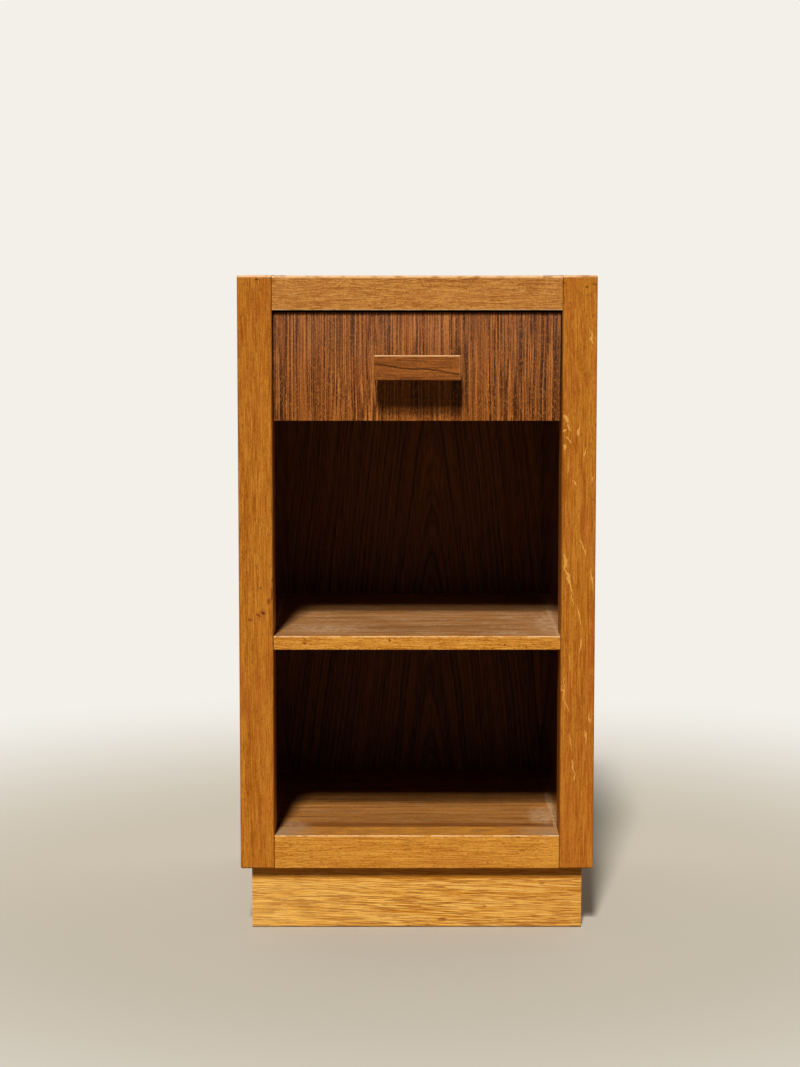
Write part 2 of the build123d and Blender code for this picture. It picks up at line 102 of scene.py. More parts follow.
OAK_FIGURE = Figure(band=4.0, fibre=0.85, reach=34, wander=0.9,
                    band_depth=0.9, fibre_depth=2.9, specks=1.2, pores=0.55)
RAIL_FIGURE = Figure(band=3.2, fibre=0.8, reach=20, wander=1.8,
                     band_depth=0.6, fibre_depth=2.9, specks=1.6, pores=0.6)
LIP_FIGURE = Figure(band=3.0, fibre=0.8, reach=26, wander=0.9,
                    band_depth=0.9, fibre_depth=4.0, specks=1.6, pores=0.8)
PLINTH_FIGURE = Figure(band=3.0, fibre=0.75, reach=62, wander=0.35,
                       band_depth=0.2, fibre_depth=3.6, specks=1.3, pores=0.2)
HANDLE_FIGURE = Figure(band=4.0, fibre=0.8, reach=32, wander=2.0,
                       band_depth=1.1, fibre_depth=3.2, specks=1.8, pores=0.5)
SHELF_FIGURE = Figure(band=8.0, fibre=2.2, reach=32, wander=3.0,
                      band_depth=1.6, fibre_depth=2.8, specks=2.4, pores=0.2)
DARK_FIGURE = Figure(band=5.0, fibre=1.5, reach=36, wander=5.0,
                     band_depth=2.4, fibre_depth=1.6, specks=0.4, pores=0.3)
BARE_FIGURE = Figure(band=5.0, fibre=1.0, reach=36, wander=3.0,
                     band_depth=2.2, fibre_depth=1.6, specks=0.4, pores=0.2)

# Marks on the oak: x, z, half width and half height in millimetres, and the tilt in degrees
LEFT_POST_KNOTS = [
    (-155.6, 327.6, 3.2, 2.2, 20), (-160.0, 325.2, 4.2, 1.6, 25), (-168.4, 320.6, 2.8, 2.0, 0),
    (-147.0, 347.0, 1.8, 9.0, 4), (-150.0, 339.0, 2.0, 5.0, 0),
]
LEFT_POST_CHIPS = [
    (-155.4, 327.8, 1.6, 1.0, 20), (-166.6, 351.8, 0.9, 1.4, 0), (-157.5, 352.9, 1.3, 1.1, 0),
    (-171.6, 369.0, 0.8, 1.0, 0), (-145.8, 361.0, 1.0, 2.4, 0), (-146.0, 664.6, 2.0, 1.0, 0),
    (-160.0, 662.9, 2.4, 0.9, 0),
]
RIGHT_POST_CHIPS = [
    (146.7, 659.2, 1.4, 1.0, 0), (168.1, 655.2, 1.2, 1.4, 20), (177.0, 658.2, 1.2, 1.0, 0),
    (169.7, 647.3, 0.7, 0.7, 0), (152.3, 640.0, 0.6, 0.9, 0), (163.0, 431.0, 0.6, 1.2, 0),
]
BASE_RAIL_CHIPS = [(103.0, 97.4, 4.5, 1.2, 0), (97.0, 97.6, 2.0, 1.6, 0)]
LIP_KNOTS = [(-114.0, 296.6, 2.8, 1.8, 0), (-27.8, 299.6, 1.6, 1.6, 0)]
LIP_CHIPS = [
    (-27.8, 300.6, 0.9, 1.2, 0), (89.0, 294.8, 1.4, 1.2, 0), (13.2, 291.8, 1.0, 0.9, 0),
    (110.3, 292.2, 1.0, 0.9, 0),
]
PLINTH_KNOTS = [
    (-36.0, 4.0, 18.0, 1.2, 0), (26.0, 8.0, 6.0, 2.6, 0), (70.0, 22.0, 3.0, 1.4, 0),
    (128.0, 46.0, 4.0, 1.4, 0),
]
RAY_FLECKS = [
    (174.5, 606.0, 1.2, 10.1, -8), (161.8, 511.5, 0.7, 7.8, 6), (152.3, 502.5, 1.0, 5.0, -30),
    (169.5, 490.4, 0.7, 6.2, 15), (151.5, 475.3, 0.7, 7.3, 10), (175.7, 463.3, 0.7, 4.5, 0),
    (158.7, 459.2, 0.7, 3.9, -25), (168.2, 394.5, 0.7, 12.3, -18), (149.6, 380.0, 1.6, 10.1, -10),
    (153.6, 360.0, 1.3, 15.7, -14), (157.4, 342.0, 0.7, 9.0, -5), (176.6, 361.0, 0.9, 13.4, -8),
    (163.7, 324.3, 0.9, 11.2, -12), (166.0, 294.7, 0.8, 10.1, 0), (155.0, 277.3, 0.7, 10.6, -12),
    (149.1, 252.7, 0.7, 14.6, 8), (171.0, 200.0, 0.7, 10.1, -6), (160.0, 160.0, 0.7, 7.8, 10),
    (148.6, 524.0, 2.4, 5.5, -25), (152.4, 516.0, 1.2, 6.0, -35), (150.2, 372.0, 1.0, 9.0, -12),
    (147.6, 246.0, 1.1, 10.0, -10), (152.8, 232.0, 0.8, 9.0, -22), (175.5, 220.0, 0.8, 8.0, 4),
    (148.8, 512.0, 1.3, 3.5, 60), (147.3, 495.5, 1.6, 3.4, 0), (156.2, 198.0, 0.9, 9.0, -4),
    (159.4, 170.0, 1.1, 9.0, -6),
]

# Groups of lines in the drawer's veneer: middle and half width, in millimetres, and how much lighter
# The lighter group at -43.5 mm, under the handle's left end, is partly painted light on the left edge of the
# handle's shadow
LINE_GROUPS = [
    (-137.0, 3.8, -0.09), (-128.0, 1.2, -0.14), (-109.0, 3.2, 0.13), (-99.0, 3.5, -0.12), (-92.0, 1.8, 0.08),
    (-71.0, 1.2, -0.12), (-68.0, 1.6, 0.08), (-54.0, 3.6, -0.2), (-43.5, 4.2, 0.18), (-35.5, 1.6, -0.08),
    (-27.5, 2.4, 0.12), (-17.0, 10.0, 0.03), (2.0, 4.0, -0.1), (25.4, 2.2, 0.12), (37.6, 1.6, -0.1),
    (45.0, 3.0, 0.06), (53.8, 2.0, -0.14), (75.0, 7.0, -0.1), (86.5, 2.4, -0.2), (103.0, 3.8, -0.09),
    (122.8, 2.0, -0.06), (131.5, 2.2, 0.14), (139.3, 2.6, -0.18),
]

# Patches of thicker dust: x, y, half width and half depth in millimetres
SHELF_DUST = [(-95, -105, 50, 45), (94, -133, 28, 18), (136, -70, 17, 100)]
BASE_DUST = [(-130, -115, 25, 30), (133, -70, 18, 55)]


def rgb(red, green, blue):
    """A screen colour, 0 to 255, as the linear values that Blender's colours hold."""
    channels = [value / 255 for value in (red, green, blue)]
    return tuple(c / 12.92 if c <= 0.04045 else ((c + 0.055) / 1.055) ** 2.4 for c in channels)


def mm(*lengths):
    """Lengths in millimetres, as a tuple in metres."""
    return tuple(each * MM for each in lengths)


def colour(name, description, *screen):
    """A colour property whose default is given as a screen colour."""
    return FloatVectorProperty(name=name, description=description, subtype="COLOR", size=3,
                               min=0.0, max=1.0, default=rgb(*screen))


def length(name, description, default):
    """A length property in metres."""
    return FloatProperty(name=name, description=description, default=default, unit="LENGTH", precision=4)


def angle(name, description, degrees):
    """An angle property whose default is given in degrees."""
    return FloatProperty(name=name, description=description, default=math.radians(degrees),
                         unit="ROTATION", subtype="ANGLE")


def strength(name, description, default):
    """The strength of a light, as a property without a unit."""
    return FloatProperty(name=name, description=description, default=default)


class StageSettings(bpy.types.PropertyGroup):
    """Camera, lamps, floor and background."""
    lens: FloatProperty(name="Lens", description="Focal length on a 36 mm long side", default=82.76,
                        unit="CAMERA")
    pitch: angle("Pitch", "How far the camera looks down", 6.044)
    distance: length("Camera distance", "From the camera to the front of the posts", 2.4566)
    height: length("Camera height", "Above the floor", 0.6685)
    sideways: length("Camera offset", "From the middle of the cabinet, towards the right", -0.0172)
    upper_key: strength("Upper key", "Strength of the upper key lamp", 3.2)
    lower_key: strength("Lower key", "Strength of the lower key lamp", 1.3)
    upper_elevation: angle("Upper key height", "Elevation of the upper key lamp", 50.5)
    lower_elevation: angle("Lower key height", "Elevation of the lower key lamp", 44)
    key_azimuth: angle("Key azimuth", "How far left of the front the key light is", 7.5)
    key_angle: angle("Key softness", "Angular size of each key lamp", 5.5)
    front_fill: strength("Front fill", "Soft light from the front", 0.04)
    back_fill: strength("Back fill", "Soft light from the sides and back", 0.8)
    floor: colour("Floor", "Plain pale floor", 172, 164, 149)
    floor_bounce: colour("Floor bounce", "The floor as it lights the cabinet", 110, 100, 84)
    backdrop: colour("Backdrop", "Pale wall", 243, 240, 233)
    fade_start: length("Fade start", "Where the floor starts to fade into the backdrop", 0.4)
    fade_end: length("Fade end", "Where the floor has faded into the backdrop", 1.3)


class OakSettings(bpy.types.PropertyGroup):
    """Oiled oak of the posts, rails, lip, sides, top and plinth."""
    post_dark: colour("Posts, dark", "Late wood of the posts", 152, 77, 2)
    post_light: colour("Posts, light", "Early wood of the posts", 196, 126, 37)
    rail_dark: colour("Rail, dark", "Late wood of the top rail", 148, 85, 20)
    rail_light: colour("Rail, light", "Early wood of the top rail", 208, 145, 70)
    gold_dark: colour("Gold, dark", "Late wood of the base rail and the lip", 176, 104, 22)
    gold_light: colour("Gold, light", "Early wood of the base rail and the lip", 218, 151, 58)
    plinth_dark: colour("Plinth, dark", "Late wood of the plinth", 194, 118, 8)
    plinth_light: colour("Plinth, light", "Early wood of the plinth", 230, 170, 76)
    plinth_streak: colour("Plinth streaks", "Palest streaks of the plinth", 250, 198, 104)
    plinth_dash: colour("Plinth dashes", "Thin brown dashes of the plinth", 140, 70, 4)
    # Painted shadow colour: tints the carcass's cast shadow on the top of the plinth
    plinth_shadow_colour: colour("Plinth, warm", "Top of the plinth, below the carcass", 238, 142, 10)
    red: colour("Red", "Reddish patches", 166, 84, 30)
    ray: colour("Rays", "Pale ray flecks", 228, 164, 76)
    pore: colour("Pores", "Open pores", 100, 50, 8)
    # This colour also paints the highlight on the handle's right end
    worn: colour("Worn arris", "Pale wood where an arris is rubbed", 218, 170, 114)
    knot: colour("Knots", "Knots and old smudges", 122, 48, 12)
    soiled: colour("Soiled oak", "Upper faces of the base rail and the lip", 132, 84, 44)
    dusty: colour("Dusty oak", "Dust at the ends of those faces", 156, 124, 90)
    chip: colour("Chips", "Dark chips and nicks", 70, 28, 8)


class VeneerSettings(bpy.types.PropertyGroup):
    """Striped veneer of the drawer front and handle, and plainer veneer inside."""
    honey: colour("Honey", "Lightest stripes", 192, 120, 54)
    orange: colour("Orange", "Light stripes", 165, 92, 29)
    russet: colour("Russet", "Middle stripes", 140, 72, 15)
    umber: colour("Umber", "Dark stripes", 98, 46, 4)
    plum: colour("Plum", "Darkest lines", 50, 20, 0)
    # Colour of the painted sheen, a soft reflection, on the striped veneer
    haze: colour("Haze", "Dull bloom on the striped veneer", 150, 116, 98)
    handle_light: colour("Handle, light", "Light grain of the handle", 164, 94, 34)
    handle_dark: colour("Handle, dark", "Dark grain of the handle", 110, 58, 17)
    shelf_light: colour("Shelf, light", "Light grain of the shelf", 170, 116, 64)
    shelf_dark: colour("Shelf, dark", "Dark grain of the shelf", 126, 80, 40)
    base_light: colour("Base, light", "Light grain of the base", 172, 112, 50)
    base_dark: colour("Base, dark", "Dark grain of the base", 116, 70, 24)
    dust: colour("Dust", "Grey dust on the shelf and base", 181, 147, 109)
    back_light: colour("Back, light", "Light grain of the back board", 148, 92, 46)
    back_dark: colour("Back, dark", "Dark grain of the back board", 72, 42, 20)
    side_light: colour("Sides, light", "Light grain of the inner sides", 84, 44, 16)
    side_dark: colour("Sides, dark", "Dark grain of the inner sides", 40, 18, 6)


class DrawerBoxSettings(bpy.types.PropertyGroup):
    """Bare wood of the drawer box, runners and hidden pieces."""
    beech_light: colour("Beech, light", "Light grain of the drawer box", 216, 180, 132)
    beech_dark: colour("Beech, dark", "Dark grain of the drawer box", 184, 142, 94)
    ply_light: colour("Plywood, light", "Light grain of the drawer bottom", 218, 188, 142)
    ply_dark: colour("Plywood, dark", "Dark grain of the drawer bottom", 188, 150, 102)
    pine_light: colour("Softwood, light", "Light grain of the corner blocks", 222, 188, 130)
    pine_dark: colour("Softwood, dark", "Dark grain of the corner blocks", 184, 128, 68)
    steel: colour("Steel", "Screws", 176, 172, 164)


def pick(sockets, key):
    """A socket by its position, its identifier or its name."""
    if isinstance(key, int):
        return sockets[key]
    for candidate in sockets:
        if candidate.identifier == key:
            return candidate
    return sockets[key]


class Value:
    """A shader socket in an expression: each operator adds one Math node."""

    def __init__(self, finish, socket):
        self.finish = finish
        self.socket = socket

    def math(self, operation, *operands):
        """One Math node on these operands."""
        return self.finish.node("ShaderNodeMath", {"operation": operation}, dict(enumerate(operands)))

    def __add__(self, other):
        return self.math("ADD", self, other)

    def __radd__(self, other):
        return self.math("ADD", other, self)

    def __sub__(self, other):
        return self.math("SUBTRACT", self, other)

    def __rsub__(self, other):
        return self.math("SUBTRACT", other, self)

    def __mul__(self, other):
        return self.math("MULTIPLY", self, other)

    def __rmul__(self, other):
        return self.math("MULTIPLY", other, self)

    def __truediv__(self, other):
        return self.math("DIVIDE", self, other)

    def __rtruediv__(self, other):
        return self.math("DIVIDE", other, self)

    def at_least(self, other):
        """The larger of two values."""
        return self.math("MAXIMUM", self, other)

    def size(self):
        """The value without its sign."""
        return self.math("ABSOLUTE", self)

    def root(self):
        """The square root of the value."""
        return self.math("SQRT", self)

    def wave(self):
        """The sine of the value."""
        return self.math("SINE", self)

    def rise(self, low, high):
        """Smoothly 0 to 1 while the value goes from low to high."""
        return self.finish.node("ShaderNodeMapRange", {"interpolation_type": "SMOOTHSTEP"},
                                {"Value": self, "From Min": low, "From Max": high})


class Finish:
    """A material or world in the making: it adds nodes and links them."""

    def __init__(self, owner):
        owner.use_nodes = True
        self.owner = owner
        self.tree = owner.node_tree
        self.tree.nodes.clear()

    def node(self, kind, settings=None, inputs=None, output=0):
        """One node: its settings first, then the values or links of its sockets."""
        made = self.tree.nodes.new(kind)
        for key, setting in (settings or {}).items():
            if key == "stops":
                self.set_stops(made.color_ramp, setting)
            else:
                setattr(made, key, setting)
        for key, value in (inputs or {}).items():
            self.feed(pick(made.inputs, key), value)
        return Value(self, pick(made.outputs, output)) if made.outputs else None

    def set_stops(self, ramp, stops):
        """Gives a colour ramp its stops, as pairs of place and colour."""
        while len(ramp.elements) < len(stops):
            ramp.elements.new(1.0)
        for element, (place, tint) in zip(ramp.elements, stops):
            element.position = place
            element.color = (*tint, 1.0)

    def feed(self, socket, value):
        """Links a value to a socket, or sets the socket to a number, vector or colour."""
        if isinstance(value, Value):
            self.tree.links.new(value.socket, socket)
        elif socket.type == "RGBA":
            socket.default_value = (*value[:3], 1.0)
        else:
            socket.default_value = value

    @cached_property
    def place(self):
        """The Object coordinates, in metres."""
        return self.node("ShaderNodeTexCoord", output="Object")

    @cached_property
    def ragged(self):
        """Object coordinates that wander a little, so that spots have ragged outlines."""
        return self.warp(self.place, mm(4, 4, 9), mm(1.4, 0, 0.8))

    @cached_property
    def wavy(self):
        """Object coordinates that wander more, for thin flecks."""
        return self.warp(self.place, mm(5, 5, 7), mm(3.4, 0, 1.0))

    def grain(self, turn, shift):
        """Object coordinates with the grain turned to Z, moved to another part of the log."""
        return self.node("ShaderNodeMapping", inputs={
            "Vector": self.place, "Rotation": turn, "Location": shift})

    def parts(self, vector):
        """The three numbers of a vector."""
        split = self.node("ShaderNodeSeparateXYZ", inputs={0: vector})
        return [Value(self, output) for output in split.socket.node.outputs]

    def vector(self, operation, first, second, output="Vector"):
        """One Vector Math node."""
        return self.node("ShaderNodeVectorMath", {"operation": operation}, {0: first, 1: second}, output)

    def noise(self, vector, cell, detail=2.0, roughness=0.5, distortion=0.0, output=0):
        """Noise whose cells measure cell = (x, y, z) in metres, from about 0.2 to 0.8."""
        scaled = self.vector("MULTIPLY", vector, tuple(1 / size for size in cell))
        return self.node("ShaderNodeTexNoise", inputs={
            "Vector": scaled, "Scale": 1.0, "Detail": detail, "Roughness": roughness,
            "Distortion": distortion}, output=output)

    def warp(self, vector, cell, amount):
        """The vector pushed about by slow noise, amount = (x, y, z) in metres."""
        drift = self.noise(vector, cell, 1.0, output=1)
        centred = self.vector("SUBTRACT", drift, (NOISE_MEAN, NOISE_MEAN, NOISE_MEAN))
        pushed = self.vector("MULTIPLY", centred, tuple(2 * size for size in amount))
        return self.vector("ADD", vector, pushed)

    def moved(self, vector, shift):
        """The vector moved to another part of the noise, so that two patterns don't coincide."""
        return self.vector("ADD", vector, shift)

    def mix(self, factor, first, second):
        """The second colour over the first, as strong as the factor says."""
        return self.node("ShaderNodeMix", {"data_type": "RGBA"},
                         {"Factor_Float": factor, "A_Color": first, "B_Color": second}, "Result_Color")

    def ramp(self, value, stops):
        """A colour ramp on a value."""
        return self.node("ShaderNodeValToRGB", {"stops": stops}, {0: value})

    def patch(self, vector, middle, half, inner, outer, tilt=0.0):
        """1 in the middle of an ellipsoid with these half sizes, tilted in degrees about Y.

        It falls from 1 to 0 between inner and outer times its own size.
        """
        local = self.node("ShaderNodeMapping", {"vector_type": "TEXTURE"}, {
            "Vector": vector, "Location": middle, "Rotation": (0.0, math.radians(tilt), 0.0), "Scale": half})
        return 1 - self.length(local).rise(inner, outer)

    def spots(self, vector, places, front):
        """1 inside tilted ellipses on the plane y = front, 0 outside, for marks as listed at the top."""
        total = 0.0
        for x, z, wide, high, tilt in places:
            inside = self.patch(vector, (x * MM, front, z * MM), mm(wide, 6, high), 0.5, 1.0, tilt)
            total = inside.at_least(total)
        return total

    def length(self, vector):
        """The length of a vector."""
        return self.vector("LENGTH", vector, (0.0, 0.0, 0.0), "Value")

    def near_line(self, point, across, inner, outer):
        """1 within inner of a straight line through a point, 0 beyond outer, in millimetres.

        across has a 1 for each axis that the line is square to.
        """
        away = self.vector("MULTIPLY", self.vector("SUBTRACT", self.place, point), across)
        return 1 - self.length(away).rise(inner * MM, outer * MM)

    def surface(self, tint, roughness, height, depth, specular=0.2, metallic=0.0):
        """Ends the material with a Principled shader, with a bump of that depth from the height."""
        bump = self.node("ShaderNodeBump", inputs={"Strength": 1.0, "Distance": depth, "Height": height})
        shader = self.node("ShaderNodeBsdfPrincipled", inputs={
            "Base Color": tint, "Roughness": roughness, "Metallic": metallic,
            "Specular IOR Level": specular, "Normal": bump})
        self.node("ShaderNodeOutputMaterial", inputs={"Surface": shader})
        return self.owner


def new_finish(name):
    """A Finish on a new material."""
    return Finish(bpy.data.materials.new(name))


def wood(finish, turn, shift, dark, light, pore, figure):
    """Plain wood: slow bands, fibres and short dark pores, all drawn out along the grain.

    Returns the colour, the height for the bump, and the grain coordinates.
    """
    wander = figure.wander * MM
    line = finish.warp(finish.grain(turn, shift), mm(45, 45, 160), (wander, wander, 0.0))
    band = figure.band * MM
    bands = finish.noise(line, (band, band, band * 25), 3.0, 0.5)
    fibre = figure.fibre * MM
    fibres = finish.noise(line, (fibre, fibre, fibre * figure.reach), 4.0, 0.65)
    specks = finish.noise(line, mm(0.8, 0.8, 1.8), 2.0, 0.6)
    tone = (bands - NOISE_MEAN) * figure.band_depth + (fibres - NOISE_MEAN) * figure.fibre_depth
    tone = tone + (specks - NOISE_MEAN) * figure.specks + 0.5
    tint = finish.mix(tone.rise(0.0, 1.0), dark, light)
    pits = finish.noise(line, mm(0.6, 0.6, 5), 1.0, distortion=0.2).rise(0.56, 0.7)
    tint = finish.mix(pits * figure.pores, tint, pore)
    return tint, fibres * 0.6 - pits * 0.7, line


def oak_colour(finish, turn, shift, settings, dark, light, rays=0.0, figure=OAK_FIGURE):
    """Colour and height of oak, with reddish patches and faint ray flecks."""
    tint, height, line = wood(finish, turn, shift, dark, light, settings.pore, figure)
    blush = finish.noise(line, mm(12, 12, 60), 2.0).rise(0.48, 0.75)
    tint = finish.mix(blush * 0.3, tint, settings.red)
    flame = finish.warp(line, mm(12, 12, 20), mm(4, 4, 0))
    fleck = finish.noise(flame, mm(1.6, 1.6, 13), 1.0).rise(0.62, 0.72)
    return finish.mix(fleck * rays, tint, settings.ray), height


def oak(name, turn, settings, dark, light, shift, rays=0.1, figure=OAK_FIGURE, knots=(), chips=(),
        flecks=(), worn=(), shaded=(), dusty=None, deeper=0.0):
    """Oiled oak.

    knots and chips are dark spots, flecks pale ones, and worn lists rubbed arrises as near_line
    takes them. shaded lists arrises darkened by painted shade, and deeper is how much redder the foot
    of a post is than its top. dusty names a node whose upper face is dull and dusty.
    """
    finish = new_finish(name)
    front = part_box("left_post")[0][1]
    tint, height = oak_colour(finish, turn, shift, settings, dark, light, rays, figure)
    if flecks:
        tint = finish.mix(finish.spots(finish.wavy, flecks, front) * FLECK_STRENGTH, tint, settings.ray)
    if knots:
        tint = finish.mix(finish.spots(finish.ragged, knots, front) * KNOT_STRENGTH, tint, settings.knot)
    if chips:
        tint = finish.mix(finish.spots(finish.ragged, chips, front) * CHIP_STRENGTH, tint, settings.chip)
    if dusty:
        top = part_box(dusty)[1][2]
        x, _, z = finish.parts(finish.place)
        upper = z.rise(top - 0.5 * MM, top - 0.1 * MM)
        soiled = finish.noise(finish.place, mm(22, 12, 8), 4.0, 0.7).rise(0.35, 0.65)
        ends = x.size().rise(95 * MM, 130 * MM)
        tint = finish.mix(upper * (soiled * 0.5 + 0.1), tint, settings.soiled)
        tint = finish.mix(upper * ends * (soiled * 0.5 + 0.35), tint, settings.dusty)
    if deeper:
        foot = 1 - finish.parts(finish.place)[2].rise(60 * MM, 480 * MM)
        tint = finish.mix(foot * deeper, tint, settings.red)
    # Painted shade: the posts' inner arrises darkened, as the light doesn't reach them
    for line in shaded:
        tint = finish.mix(finish.near_line(*line) * ARRIS_SHADE_STRENGTH, tint, settings.pore)
    patchy = finish.noise(finish.place, mm(9, 9, 9), 2.0).rise(0.3, 0.55)
    for line in worn:
        tint = finish.mix(finish.near_line(*line) * patchy * RUBBED_STRENGTH, tint, settings.worn)
    return finish.surface(tint, height * 0.12 + SATIN, height, FINE_GRAIN)


def arris(node, top, strip=RUBBED):
    """The front arris of a piece, at its top or its bottom edge, as near_line takes it."""
    low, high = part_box(node)
    return (0.0, low[1], high[2] if top else low[2]), (0.0, 1.0, 1.0), *strip


def inner_arris(node, side):
    """The front arris of a post on the compartments' side, with its strip of painted shade, as near_line
    takes it.
    """
    low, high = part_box(node)
    inner_x = low[0] if side > 0 else high[0]
    return (inner_x, low[1], 0.0), (1.0, 1.0, 0.0), *INNER_ARRIS_SHADE


def plinth_oak(name, turn, shift, settings, knots=()):
    """Golden oak, pale streaks and thin brown dashes; painted warm shadow at its top, painted contact shadow
    and dirt at the floor.

    A board with knots, the front one, is also paler to the left and redder to the right.
    """
    finish = new_finish(name)
    tint, height, line = wood(finish, turn, shift, settings.plinth_dark, settings.plinth_light,
                              settings.pore, PLINTH_FIGURE)
    streak = finish.noise(line, mm(0.72, 0.72, 46), 1.0).rise(0.5, 0.58)
    tint = finish.mix(streak * 0.62, tint, settings.plinth_streak)
    dash = finish.noise(line, mm(0.7, 0.7, 22), 1.0, distortion=0.15).rise(0.53, 0.61)
    tint = finish.mix(dash * 0.75, tint, settings.plinth_dash)
    low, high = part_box("plinth_front")
    x, _, z = finish.parts(finish.place)
    if knots:
        tint = finish.mix(finish.spots(finish.ragged, knots, low[1]) * 0.6, tint, settings.knot)
        tint = finish.mix((1 - x.rise(low[0], 20 * MM)) * 0.2, tint, settings.plinth_streak)
        tint = finish.mix(x.rise(40 * MM, high[0]) * 0.14, tint, settings.red)
    # Painted shadow colour: a warm orange band where the carcass casts its shadow on the plinth, which tints
    # that shadow and lengthens it
    carcass_shadow_tint = z.rise(high[2] - 13.8 * MM, high[2] - 12.6 * MM) * 0.4
    tint = finish.mix(carcass_shadow_tint, tint, settings.plinth_shadow_colour)
    # Painted contact shadow, with some dirt: the plinth darkened along its foot where it meets the floor
    floor_shade_and_dirt = (1 - z.rise(0.4 * MM, 2.2 * MM)) * 0.6
    tint = finish.mix(floor_shade_and_dirt, tint, settings.chip)
    return finish.surface(tint, height * 0.1 + SATIN, height - dash * 0.6, OPEN_GRAIN)


def striped(finish, settings, lift, painted_sheen):
    """Striped veneer: sharp lines of several widths along the grain, broken by short dashes.

    lift makes the lines lighter, and the last argument is the strength of a dull painted sheen over them, a
    soft reflection.
    Returns the colour, and the height for the bump.
    """
    line = finish.warp(finish.place, mm(45, 45, 120), mm(2.4, 2.4, 0))
    broad = finish.noise(line, mm(12, 12, 900), 1.0)
    middle = finish.noise(line, mm(2.6, 2.6, 300), 2.0)
    narrow = finish.noise(line, mm(0.95, 0.95, 260), 3.0, 0.6)
    tone = (broad - NOISE_MEAN) * 0.25 + (middle - NOISE_MEAN) * 0.9 + (narrow - NOISE_MEAN) * 4.1
    tone = tone + STRIPE_TONE + lift
    tint = finish.ramp(tone, [(0.05, settings.plum), (0.28, settings.umber), (0.48, settings.russet),
                              (0.66, settings.orange), (0.95, settings.honey)])
    calm = finish.noise(finish.moved(line, (0.7, 0.2, 0.4)), mm(7, 7, 500), 1.0)
    tint = finish.mix(calm.rise(0.52, 0.64) * 0.3, tint, settings.orange)
    pits = finish.noise(line, mm(0.7, 0.7, 2.2), 1.0, distortion=0.3).rise(0.5, 0.64)
    tint = finish.mix(pits * 0.5, tint, settings.plum)
    gleam = finish.noise(finish.moved(line, (0.3, 0.3, 0.3)), mm(0.8, 0.8, 3), 1.0)
    tint = finish.mix(gleam.rise(0.54, 0.66) * 0.4, tint, settings.honey)
    # Painted sheen: a dull soft reflection in cloudy patches
    sheen_cloud = finish.noise(finish.place, mm(30, 30, 40), 2.0).rise(0.35, 0.7)
    tint = finish.mix((sheen_cloud * 0.5 + 0.5) * painted_sheen, tint, settings.haze)
    return tint, narrow * 0.6 - pits * 0.6


def drawer_veneer(name, settings):
    """The striped veneer of the drawer front, with groups of lines where the real one has them.

    It is paler above the handle, darker to the right, and has a painted sheen, a soft reflection that grows
    towards its top.
    """
    finish = new_finish(name)
    low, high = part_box("drawer_front")
    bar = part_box("handle_bar")[1]
    x, _, z = finish.parts(finish.place)
    above_bar = finish.patch(finish.place, (0.0, bar[1], bar[2] + 22 * MM), mm(55, 100, 34), 0.3, 1.1)
    lift = above_bar * 0.11 - x.rise(20 * MM, 80 * MM) * 0.06
    for middle, half, shift in LINE_GROUPS:
        near = 1 - (x - middle * MM).size().rise(half * 0.6 * MM, half * 1.3 * MM)
        lift = lift + near * shift
    # Painted sheen, stronger towards the top of the drawer front
    painted_sheen = z.rise(low[2], high[2]) * 0.15
    tint, height = striped(finish, settings, lift, painted_sheen)
    return finish.surface(tint, height * 0.1 + SATIN, height, OPEN_GRAIN)


def handle_veneer(name, settings, worn):
    """Brown veneer with its grain along the handle, a wavy dark streak, a rubbed upper arris and a painted
    highlight on its right end.

    The streak is 1 mm below the bar's middle at x = 0, falls to the right by a tenth, and waves by
    0.9 mm each way.
    """
    finish = new_finish(name)
    tint, height, _ = wood(finish, GRAIN_ACROSS, (0.4, 0.7, 0.9), settings.handle_dark,
                           settings.handle_light, settings.plum, HANDLE_FIGURE)
    low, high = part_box("handle_bar")
    x, _, z = finish.parts(finish.ragged)
    course = x * -0.1 + (x / (9 * MM)).wave() * (0.9 * MM) + ((low[2] + high[2]) / 2 - 1 * MM)
    streak = 1 - (z - course).size().rise(0.3 * MM, 1.3 * MM)
    tint = finish.mix(streak * 0.8, tint, settings.plum)
    # Painted highlight: the right end's arris paled as if it caught the light; the upper arris is rubbed
    # wear
    right_end_glint = ((high[0], low[1], 0.0), (1.0, 1.0, 0.0), *RUBBED_FOOT)
    for line, share in ((arris("handle_bar", True), 0.7), (right_end_glint, 0.2)):
        tint = finish.mix(finish.near_line(*line) * share, tint, worn)
    return finish.surface(tint, height * 0.1 + 0.4, height, FINE_GRAIN)


